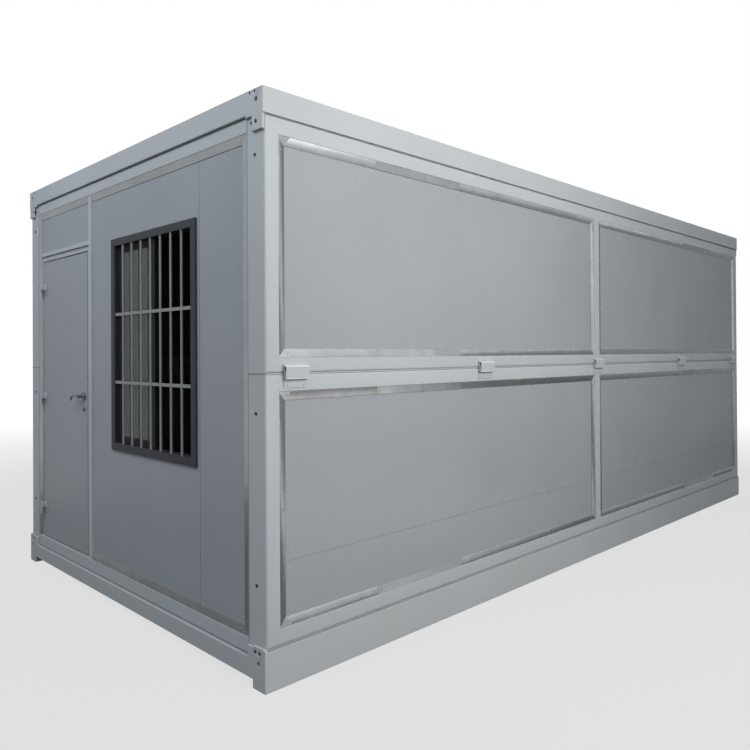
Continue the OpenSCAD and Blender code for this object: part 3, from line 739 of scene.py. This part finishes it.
def strips_of(origin, across, width, height):
    """The four strips of a ring: name, start, direction along, direction inward, length."""
    return (("bottom", origin, across, UP, width), ("top", origin + UP * height, across, -UP, width),
            ("left", origin, UP, across, height), ("right", origin + across * width, UP, -across, height))


def strip_rivets(origin, out, width, height, skip=()):
    """Rivet places round a ring of strips in an end wall: near both ends of each strip and between."""
    places = []
    for name, start, along, inward, length in strips_of(Vector(origin), ACROSS, width, height):
        if name in skip:
            continue
        lean = strip_turn(inward, out)[0]
        last = max(2, round(length / RIVET_PITCH) + 1) - 1
        for i in range(last + 1):
            at = start + along * (RIVET_MARGIN + i * (length - 2 * RIVET_MARGIN) / last)
            places.append((at + inward * TRIM_WIDTH / 2 - out * (TRIM_MIDDLE + SINK), lean, 0.0))
    return places


def lap_plate(start, along, inward, out, from_, to, cut=0.0):
    """A thin strip lying on a trim strip from one distance to another, its far end cut at a slant."""
    lean, across = strip_turn(inward, out)
    plate = box_piece((from_, LAP_EDGE, -SINK), (to, TRIM_WIDTH - LAP_EDGE, LAP_THICK))
    if cut:
        edit_whole(plate)
        bpy.ops.mesh.bisect(plane_co=(to, 0, 0), plane_no=(TRIM_WIDTH, cut, 0),
                            use_fill=True, clear_outer=True)
        object_mode()
    rounded(plate, LAP_ROUNDING, 1)
    turn = Matrix((along, across, lean)).transposed().to_4x4()
    plate.matrix_world = Matrix.Translation(start - out * TRIM_EDGE) @ turn
    settled()
    if turn.determinant() < 0:
        edit_mode()
        faced_outwards()
    return plate


def side_wall_strips():
    """Laps and rivet places on the strips of both side walls, drawn from the corners to the middle."""
    plates, places = [], []
    for side, node, end in itertools.product(SIDES, ("right_wall_lower_trim", "right_wall_upper_trim"), ENDS):
        out = Vector((0, side, 0))
        low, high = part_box(node)
        origin, across = Vector((end * high.x, side * WALL_FACE, low.z)), Vector((-end, 0, 0))
        lap_from, lap_to = (at - (HOUSE_END - high.x) for at in (LAP_FROM, LAP_TO))
        for name, start, along, inward, length in strips_of(origin, across, high.x - MID_POST_HALF,
                                                            high.z - low.z):
            lean = strip_turn(inward, out)[0]
            middle = start + inward * TRIM_WIDTH / 2 - out * (TRIM_MIDDLE - LAP_THICK)
            flat = middle - out * (LAP_THICK + SINK)
            if name in ("bottom", "top"):
                plates.append(lap_plate(start, along, inward, out, lap_from, lap_to))
                plates.append(lap_plate(start, along, inward, out, *CORNER_LAP))
                for at in (lap_from + PAIR_INSET, lap_to - PAIR_INSET):
                    for shift in (-PAIR_SHIFT, PAIR_SHIFT):
                        spot = middle + along * at + inward * shift - out * shift * PAIR_FALL
                        places.append((spot, lean, 0.0))
                places.append((middle + along * CORNER_RIVET - inward * RIVET_SHIFT, lean, 0.0))
                rest = (length - RIVET_PITCH, length - LAST_RIVET)
            else:
                rest = (RIVET_MARGIN, length / 2, length - RIVET_MARGIN)
            places += [(flat + along * at, lean, 0.0) for at in rest]
    return plates, places


def trim_rivets(places, name, body):
    spread_out(rivet_model(0.0040, 0.0016), places, name, STEEL, body)


plates, rivet_places = side_wall_strips()
kept(one_mesh(plates), "side_trim_laps", TRIM, "house")
trim_rivets(rivet_places, "side_trim_rivets", "house")
low, high = REAR_TRIM_LOW, REAR_TRIM_HIGH
rear_places = strip_rivets((POST_END, low.y, low.z), Vector((1, 0, 0)), high.y - low.y, high.z - low.z)
trim_rivets(rear_places, "rear_trim_rivets", "rear_wall")
low, high = FRONT_TRIM_LOW, FRONT_TRIM_HIGH
forward = Vector((-1, 0, 0))
front_places = (
    strip_rivets((-POST_END, low.y, low.z), forward, MULLION_Y - low.y, high.z - low.z, ("right",))
    + strip_rivets((-POST_END, MULLION_Y, low.z), forward, high.y - MULLION_Y, high.z - low.z,
                   ("bottom", "left")))
clear_places = [p for p in front_places if not NO_RIVETS[0] < p[0].y < NO_RIVETS[1]]
trim_rivets(clear_places, "front_trim_rivets", "front_wall")


# -------- screws of the posts, hinges and roof sheet

POST_SCREW_Y = WALL_FACE - 0.063
POST_SCREW_ZS = (ROOF_TOP - 0.267, FOLD_Z - 0.163, GROUND + 0.420)
screw = screw_model(0.0075, 0.0034)
places = [((end * POST_END, side * POST_SCREW_Y, z), (end, 0, 0), 0.3 * z)
          for end in ENDS for side in SIDES for z in POST_SCREW_ZS]
spread_out(screw, places, "corner_post_screws", BOLT, "house")

HINGE_PLATE = 0.004                              # thickness of a fold hinge's plate
screw = screw_model(0.0048, 0.0022)
places = [((x + shift, side * (WALL_FACE + HINGE_PLATE), HINGE_LOW.z + 0.012), (0, side, 0), shift * 9)
          for side in SIDES for x in middles("right_wall_fold_hinges", AXIS_X) for shift in (-0.046, 0.046)]
spread_out(screw, places, "fold_hinge_screws", FRAME_PAINT, "house")

HOOD_OUT = -HINGE_LOW.y                          # front of a hinge's cover
HOOD_TOP, HOOD_LOW = HINGE_HIGH.z, HINGE_HIGH.z - 0.058
HOOD_BEND = HOOD_TOP - (HOOD_OUT - WALL_FACE) / 2    # where the cover's slope meets its front
HOOD_BACK = WALL_FACE + HINGE_PLATE + 0.0002     # back of the ends that close a cover
CAP_THICK = 0.002


def hood_parts():
    """Ends that close each hinge cover, and the rolled edges along its bend and its foot, whose near-white
    paint is a painted highlight.
    """
    caps, edges = [], []
    for side in SIDES:
        for low, high in runs("right_wall_fold_hinges", AXIS_X):
            for x in (low + 0.0002, high - 0.0002 - CAP_THICK):
                near, far = sorted((side * HOOD_BACK, side * (HOOD_OUT - 0.0006)))
                cap = box_piece((x, near, HOOD_LOW + 0.0012), (x + CAP_THICK, far, HOOD_TOP - 0.003))
                top_picked(cap)
                bpy.ops.transform.resize(value=(1, 0.06, 1), center_override=(x, side * HOOD_BACK, HOOD_TOP))
                object_mode()
                caps.append(rounded(cap, 0.0005, 1))
            for z, radius in ((HOOD_BEND + 0.0010, 0.0040), (HOOD_LOW - 0.0012, 0.0045)):
                start = (low, side * (HOOD_OUT - radius - 0.0001), z)
                edges.append(rounded(rod_piece(start, (1, 0, 0), radius, high - low, 16), 0.0008, 2))
    return caps, edges


caps, edges = hood_parts()
kept(one_mesh(caps), "fold_hinge_cover_ends", FRAME_PAINT, "house")
# the rolled edges take the near-white paint, a painted highlight
kept(one_mesh(edges), "fold_hinge_rolled_edges", HIGHLIGHT_EDGE_PAINT, "house")

SHEET_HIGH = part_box("roof_sheet")[1]
RIB_PITCH, RIB_HEIGHT = 0.30, 0.022
SHEET_SCREW_YS = (-1.10, -0.55, 0.0, 0.55, 1.10)
screw = upright_profile([(0.0095, 0.0), (0.0095, 0.0012), (0.006, 0.0016), (0.006, 0.0052),
                         (0.0048, 0.0062)], 12)
rib_count = int((2 * SHEET_HIGH.x - RIB_PITCH / 2) / RIB_PITCH)
places = [(((i - rib_count / 2) * RIB_PITCH, y, SHEET_HIGH.z - RIB_HEIGHT), (0, 0, 1), 0.7 * i)
          for i in range(1, rib_count) for y in SHEET_SCREW_YS]
spread_out(screw, places, "roof_sheet_screws", STEEL, "house")

screw = screw_model(0.0052, 0.0024)
DOOR_HINGE_FACE = LEAF_LOW.x - 0.003
DOOR_SCREW_Y = LEAF_HIGH.y - 0.0375
places = [((DOOR_HINGE_FACE, DOOR_SCREW_Y, z + shift), (-1, 0, 0), z)
          for z in middles("door_hinge_leaves", AXIS_Z) for shift in (-0.010, 0.010)]
spread_out(screw, places, "door_hinge_screws", FRAME_PAINT, "door")

for end, wall in zip(ENDS, ("front_wall", "rear_wall")):
    leaves = wall + "_hinge_leaves"
    low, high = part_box(leaves)
    face = min(abs(low.x), abs(high.x))
    places = [((end * face, y + shift, low.z + 0.022), (-end, 0, 0), 0.5)
              for y in middles(leaves, AXIS_Y) for shift in (-0.040, 0.0, 0.040)]
    spread_out(bolt_model(0.0065, 0.005, 0.0095), places, wall + "_hinge_bolts", STEEL, wall)


# -------- seals round the end walls

LIP_ROUNDING, LIP_LAP = 0.0012, 0.0005           # a lip laps the wall's edge by this much
SIDE_GAP, FOOT_GAP = 0.0045, 0.0048              # how far the lips reach out from that edge
HEAD_GAP, HEAD_LAP = 0.0060, 0.0042              # the same for the lip along the top
BEAD_FRONT, BEAD_BACK = 0.0006, 0.003            # how far behind the faces the beads start and end


def gap_seal(wall, end):
    """Rubber lips on an end wall's edges, in the gaps to the corner posts, the roof and the base."""
    low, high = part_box(wall + "_frame")
    reach = REAR_TRIM_HIGH.y                     # the trim is as wide as the wall's opening
    outer, inner = sorted((end * (POST_END - 0.001), end * (POST_END - 0.011)))
    lips = (((-reach - SIDE_GAP, low.z), (-reach + LIP_LAP, high.z)),
            ((reach - LIP_LAP, low.z), (reach + SIDE_GAP, high.z)),
            ((-reach, low.z - FOOT_GAP), (reach, low.z + LIP_LAP)),
            ((-reach, high.z - HEAD_LAP), (reach, high.z + HEAD_GAP)))
    bars = [soft_bar((outer, *near), (inner, *far), LIP_ROUNDING) for near, far in lips]
    kept(one_mesh(bars), wall + "_gap_seals", SEAL, wall)


def seam_beads():
    """Sealant in the seams of the side walls at the fold and under the roof, a little behind the faces."""
    inner = FRONT_TRIM_HIGH.y + 0.0062
    beads = []
    for side in SIDES:
        for z, half in ((FOLD_Z, 0.0024), (WALL_HIGH.z - 0.00125, 0.0012)):
            near, far = sorted((side * (WALL_FACE - BEAD_FRONT), side * (WALL_FACE - BEAD_BACK)))
            beads.append(box_piece((-POST_END + 0.002, near, z - half), (POST_END - 0.002, far, z + half)))
            for end in ENDS:
                x0, x1 = sorted((end * (POST_END - BEAD_FRONT), end * (POST_END - BEAD_BACK)))
                y0, y1 = sorted((side * inner, side * (WALL_FACE - 0.0012)))
                beads.append(box_piece((x0, y0, z - half), (x1, y1, z + half)))
    return [rounded(bead, 0.0004, 1) for bead in beads]


kept(one_mesh(seam_beads()), "side_wall_seam_beads", FRAME_PAINT, "house")
gap_seal("front_wall", -1.0)
gap_seal("rear_wall", 1.0)


# -------- door furniture

SPINDLE = Vector((0.0, LEAF_LOW.y + 0.046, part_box("door_handle")[0].z + 0.087))
GRIP_RADIUS, GRIP_STAND = 0.0092, 0.0375         # the lever's grip, and how far out it stands
KEY_DROP = 0.072                                 # from the lever down to the keyhole
LOCK_DROP, LOCK_HALF = 0.03, 0.11                # the lock plate's middle below the lever, half its height
STOP_ROUNDING = 0.0015
# the grip's bowed path with a returned end: distance along the door, height and thickness
GRIP_PATH = ((0.000, 0.0, 1.0), (0.012, 0.0035, 1.02), (0.030, 0.0055, 0.96), (0.055, 0.0050, 0.92),
             (0.078, 0.0015, 0.90), (0.092, -0.0060, 0.88), (0.099, -0.0170, 0.84), (0.102, -0.0270, 0.70))


def lever_grip(start):
    """A flattened ring pushed along the grip's path and smoothed."""
    bpy.ops.mesh.primitive_circle_add(vertices=20, radius=GRIP_RADIUS, fill_type="NGON",
                                      rotation=(-math.pi / 2, 0, 0))
    grip = bpy.context.object
    grip.scale = (0.72, 1.0, 1.0)
    grip.location = start
    settled()
    edit_whole(grip)
    at, lean = start, 0.0
    for (y0, z0, size0), (y1, z1, size1) in zip(GRIP_PATH, GRIP_PATH[1:]):
        bpy.ops.mesh.extrude_region_move(TRANSFORM_OT_translate={"value": (0, y1 - y0, z1 - z0)})
        at = at + Vector((0, y1 - y0, z1 - z0))
        bpy.ops.transform.resize(value=(size1 / size0,) * 3, center_override=at)
        slope = math.atan2(z1 - z0, y1 - y0)
        bpy.ops.transform.rotate(value=-(slope - lean), orient_axis="X", center_override=at)
        lean = slope
    faced_outwards()
    soften = grip.modifiers.new("smoothed", "SUBSURF")
    soften.levels = soften.render_levels = 1
    bpy.ops.object.modifier_apply(modifier=soften.name)
    smoothed(60)
    return grip


def lever_set(face, out):
    """Rose, neck, grip and key escutcheon on one face of the leaf."""
    outward = (out, 0, 0)
    place = Vector((face, SPINDLE.y, SPINDLE.z))
    rose = turned_profile([(0.026, 0.0), (0.026, 0.0055), (0.0235, 0.0078), (0.013, 0.0088), (0.0115, 0.014)],
                          outward, place, 40)
    neck = turned_profile([(0.0092, 0.010), (0.0088, 0.030), (0.0098, 0.040), (0.0088, 0.0445)],
                          outward, place, 28)
    grip = lever_grip(place + Vector((out * GRIP_STAND, 0, 0)))
    key_place = place - KEY_DROP * UP
    plate = turned_profile([(0.0165, 0.0), (0.0165, 0.0045), (0.0148, 0.0065)], outward, key_place, 32)
    slit = box_piece(key_place + Vector((out * 0.004 - 0.004, -0.0016, -0.0095)),
                     key_place + Vector((out * 0.004 + 0.004, 0.0016, 0.002)))
    combined(plate, slit, "DIFFERENCE")
    keyhole = rod_piece(key_place + Vector((out * 0.0005, 0, 0.003)), outward, 0.0038, 0.02)
    combined(plate, keyhole, "DIFFERENCE")
    return [rose, neck, grip, plate]


levers = lever_set(LEAF_LOW.x, -1.0) + lever_set(LEAF_HIGH.x, 1.0)
spindle = rod_piece((LEAF_LOW.x, SPINDLE.y, SPINDLE.z), (1, 0, 0), 0.0075, LEAF_HIGH.x - LEAF_LOW.x)
handle = one_mesh(levers + [spindle])
# the lever set's dark colour is a painted reflection of dark surroundings
kept(handle, "door_lever_set", LEVER_DARK_REFLECTION_FINISH, "door")
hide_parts("door_handle")

lock_z = SPINDLE.z - LOCK_DROP
plate = soft_bar((LEAF_LOW.x + 0.010, LEAF_LOW.y - 0.0012, lock_z - LOCK_HALF),
                 (LEAF_HIGH.x - 0.010, LEAF_LOW.y + 0.001, lock_z + LOCK_HALF), 0.0005)
bolt = soft_bar((LEAF_LOW.x + 0.014, LEAF_LOW.y - 0.0035, SPINDLE.z - 0.009),
                (LEAF_HIGH.x - 0.014, LEAF_LOW.y, SPINDLE.z + 0.009), 0.0015)
kept(one_mesh([plate, bolt]), "door_lock_plate", STEEL, "door")

# seals behind the leaf's lock edge, hinge edge and top
stop_near, stop_far = LEAF_HIGH.x + 0.0012, LEAF_HIGH.x + 0.0062
foot, top = LEAF_LOW.z + 0.01, LEAF_HIGH.z + 0.003
strips = [soft_bar((stop_near, *start), (stop_far, *end), STOP_ROUNDING) for start, end in (
    ((LEAF_LOW.y - 0.006, foot), (LEAF_LOW.y + 0.003, top)),
    ((LEAF_HIGH.y - 0.003, foot), (LEAF_HIGH.y + 0.006, top)),
    ((LEAF_LOW.y, LEAF_HIGH.z - 0.004), (LEAF_HIGH.y, LEAF_HIGH.z + 0.005)))]
kept(one_mesh(strips), "door_stop_seals", SEAL, "front_wall")


# -------- window furniture

def pane_rings():
    """A soft rubber edge round each pane, lapping both of its faces, and the sliding pane's inner side."""
    glass = NODES["window_glass"].data.vertices
    lap = Vector((0.0025, 0.0008, 0.0008))
    edge = Vector((-0.01, 0.0065, 0.0065))
    rings = []
    for outer, inner in runs("window_glass", AXIS_X):
        points = [v.co for v in glass if outer - 0.0002 < v.co.x < inner + 0.0002]
        low = Vector((outer, min(p.y for p in points), min(p.z for p in points))) - lap
        high = Vector((inner, max(p.y for p in points), max(p.z for p in points))) + lap
        ring = box_piece(low, high)
        combined(ring, box_piece(low + edge, high - edge), "DIFFERENCE")
        rings.append(rounded(ring, 0.0009, 2))
    return rings, high.y


rings, sliding_side = pane_rings()
kept(one_mesh(rings), "pane_rubber_edges", RUBBER, "front_wall")

LATCH_Y = sliding_side + 0.014
LATCH_Z = (SASH_LOW.z + SASH_HIGH.z) / 2


def latch_bar(near, far, half_width, below, above, width):
    """A bar of the sash latch, between two distances in from the sash's inner face."""
    return soft_bar((SASH_HIGH.x + near, LATCH_Y - half_width, LATCH_Z - below),
                    (SASH_HIGH.x + far, LATCH_Y + half_width, LATCH_Z + above), width)


base = latch_bar(-0.0005, 0.003, 0.011, 0.034, 0.034, 0.001)
hub = turned_profile([(0.0085, 0.0), (0.0085, 0.0035), (0.006, 0.005)], (1, 0, 0),
                     (SASH_HIGH.x + 0.003, LATCH_Y, LATCH_Z), 24)
tongue = latch_bar(0.0042, 0.0078, 0.0045, 0.006, 0.036, 0.0014)
kept(one_mesh([base, hub, tongue]), "sash_latch", STEEL, "front_wall")

GUARD_LOW, GUARD_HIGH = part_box("window_guard")
GUARD_X = (GUARD_LOW.x + GUARD_HIGH.x) / 2
BAR_RADIUS = (GUARD_HIGH.x - GUARD_LOW.x) / 2
BAR_COUNT, BAR_PITCH = 7, 0.097
WELD_RADIUS, WELD_SHAPE = 0.0042, (1.0, 0.8, 2.1)
GUARD_MIDDLE = (WINDOW_LOW.y + WINDOW_HIGH.y) / 2
RAIL_ZS = [(WINDOW_LOW.z + WINDOW_HIGH.z) / 2 - 0.021 + rise for rise in (-0.183, 0.183)]
beads = []
for i in range(BAR_COUNT):
    bar_y = GUARD_MIDDLE + (i - (BAR_COUNT - 1) / 2) * BAR_PITCH
    for z in RAIL_ZS:
        for side in SIDES:
            bpy.ops.mesh.primitive_uv_sphere_add(segments=10, ring_count=6, radius=WELD_RADIUS,
                                                 location=(GUARD_X, bar_y + side * (BAR_RADIUS + 0.0002), z))
            bead = bpy.context.object
            bead.scale = WELD_SHAPE
            settled()
            bpy.ops.object.shade_smooth()
            beads.append(bead)
kept(one_mesh(beads), "guard_weld_beads", BARS, "front_wall")


# -------- stage and light

WHITE = (1.0, 1.0, 1.0)
OPAQUE_WHITE = (*WHITE, 1.0)
FLOOR_SIZE = 90.0
PATCH_MIDDLE = (0.1, -3.9, 0.0)                  # the bright patch of floor that the long side mirrors
SCREEN_TOWARDS = (0.2, -0.98, 0.0)               # the bright screen's direction from the house

bpy.ops.mesh.primitive_plane_add(size=FLOOR_SIZE, location=(0, 0, 0))
ground = bpy.context.object
ground.name = "studio_floor"
floor_finish, floor, matt = new_finish("studio_floor", (0.165, 0.165, 0.165), 0.9, 0.0, 0.1)
place = own_place(floor)
reach = measured(floor, "LENGTH", place)
seen = product(floor, spread(floor, reach, 4.5, 10.0, 0.70, 1.0), ray_kinds(floor, "Is Camera Ray"))
# what gloss shows: a bright patch of floor beside the long side, and pale floor far off and behind the house
patch = spread(floor, measured(floor, "DISTANCE", place, PATCH_MIDDLE), 0.7, 2.3, 1.0, 0.04)
far_off = spread(floor, reach, 6.0, 12.0, 0.0, 0.28)
behind = spread(floor, parts_of(floor, place)["Y"], 2.2, 3.4, 0.0, 0.42)
mirrored = product(floor, larger(floor, larger(floor, patch, far_off), behind),
                   ray_kinds(floor, "Is Glossy Ray"))
glow = new_node(floor, "ShaderNodeEmission", {"Color": OPAQUE_WHITE}).outputs["Emission"]
floor.links.new(mixed(floor, larger(floor, seen, mirrored), matt.outputs["BSDF"], glow),
                floor.nodes["Material Output"].inputs["Surface"])
painted(ground, floor_finish)

world = bpy.data.worlds.new("studio")
SCENE.world = world
world.use_nodes = True
sky = world.node_tree
daylight = sky.nodes["Background"]
daylight.inputs["Color"].default_value = (0.84, 0.92, 1.0, 1.0)
daylight.inputs["Strength"].default_value = 0.385
# what gloss shows: a bright screen in front of the long side's near half, dimmer studio walls round it
ray = sky.nodes.new("ShaderNodeTexCoord").outputs["Generated"]
bearing = measured(sky, "DOT_PRODUCT", ray, SCREEN_TOWARDS)
rise = parts_of(sky, ray)
walls = larger(sky, spread(sky, rise["X"], -0.5, 0.1, 0.62, 0.25),
               spread(sky, bearing, -0.9, -0.4, 0.62, 0.3))
screen = larger(sky, spread(sky, bearing, 0.635, 0.70, 0.31, 1.12), walls)
strength = product(sky, screen, spread(sky, rise["Z"], 0.0, 0.4, 0.78, 1.0))
studio = new_node(sky, "ShaderNodeBackground", {"Color": (0.92, 0.965, 1.0, 1.0), "Strength": strength})
plain = new_node(sky, "ShaderNodeBackground", {"Color": OPAQUE_WHITE, "Strength": 1.0})
unlit = mixed(sky, ray_kinds(sky, "Is Camera Ray", "Is Transmission Ray"),
              daylight.outputs["Background"], plain.outputs["Background"])
sky.links.new(mixed(sky, ray_kinds(sky, "Is Glossy Ray"), unlit, studio.outputs["Background"]),
              sky.nodes["World Output"].inputs["Surface"])


def soft_lamp(name, place, aim, size, power, colour=WHITE):
    bpy.ops.object.light_add(type="AREA", location=place)
    lamp = bpy.context.object
    lamp.name = name
    lamp.data.shape = "RECTANGLE"
    lamp.data.size, lamp.data.size_y = size
    lamp.data.energy = power
    lamp.data.color = colour
    lamp.rotation_euler = (Vector(aim) - Vector(place)).to_track_quat("-Z", "Y").to_euler()
    return lamp


# the long side's lamp: most of its light makes no glare on the bright strips, and a dim twin gives the glint
for name, y, power, glints in (("side_lamp", -4.55, 90.0, False), ("side_glint", -4.45, 17.0, True)):
    lamp = soft_lamp(name, (-2.05, y, 2.8), (-1.9, -1.2, 1.6), (2.9, 2.2), power, (1.0, 1.0, 0.97))
    lamp.visible_glossy = glints
soft_lamp("back_lamp", (5.0, 4.6, 3.4), (1.2, 0.6, 1.2), (4.0, 3.0), 210.0, (0.95, 0.98, 1.0))
soft_lamp("end_lamp", (-5.3, -0.3, 4.4), (-2.9, -0.1, 2.0), (2.6, 2.0), 65.0, (0.90, 0.95, 1.0))
soft_lamp("top_lamp", (0.5, 0.0, 8.0), (0.5, 0.0, 1.0), (8.0, 5.0), 160.0)


# -------- camera

SENSOR_WIDTH = 36.0


def camera_at(place, yaw, pitch, roll, focal, shift):
    """A camera whose yaw turns from +X towards +Y. Angles in degrees, focal length in picture widths."""
    yaw, pitch, roll = (math.radians(a) for a in (yaw, pitch, roll))
    forward = Vector((math.cos(pitch) * math.cos(yaw), math.cos(pitch) * math.sin(yaw), math.sin(pitch)))
    right = Vector((math.sin(yaw), -math.cos(yaw), 0.0))
    up = right.cross(forward)
    side = math.cos(roll) * right + math.sin(roll) * up
    top = -math.sin(roll) * right + math.cos(roll) * up
    turn = Matrix((side, top, -forward)).transposed().to_4x4()
    bpy.ops.object.camera_add()
    camera = bpy.context.object
    camera.matrix_world = Matrix.Translation(Vector(place)) @ turn
    camera.data.sensor_width = SENSOR_WIDTH
    camera.data.lens = SENSOR_WIDTH * focal
    camera.data.shift_x, camera.data.shift_y = shift
    camera.data.clip_end = 200.0
    SCENE.camera = camera


camera_at((-4.6404, -3.4261, 1.3671), yaw=48.28, pitch=0.30, roll=-0.283, focal=0.92544,
          shift=(0.09871, -0.03349))
SCENE.view_settings.view_transform = "Standard"
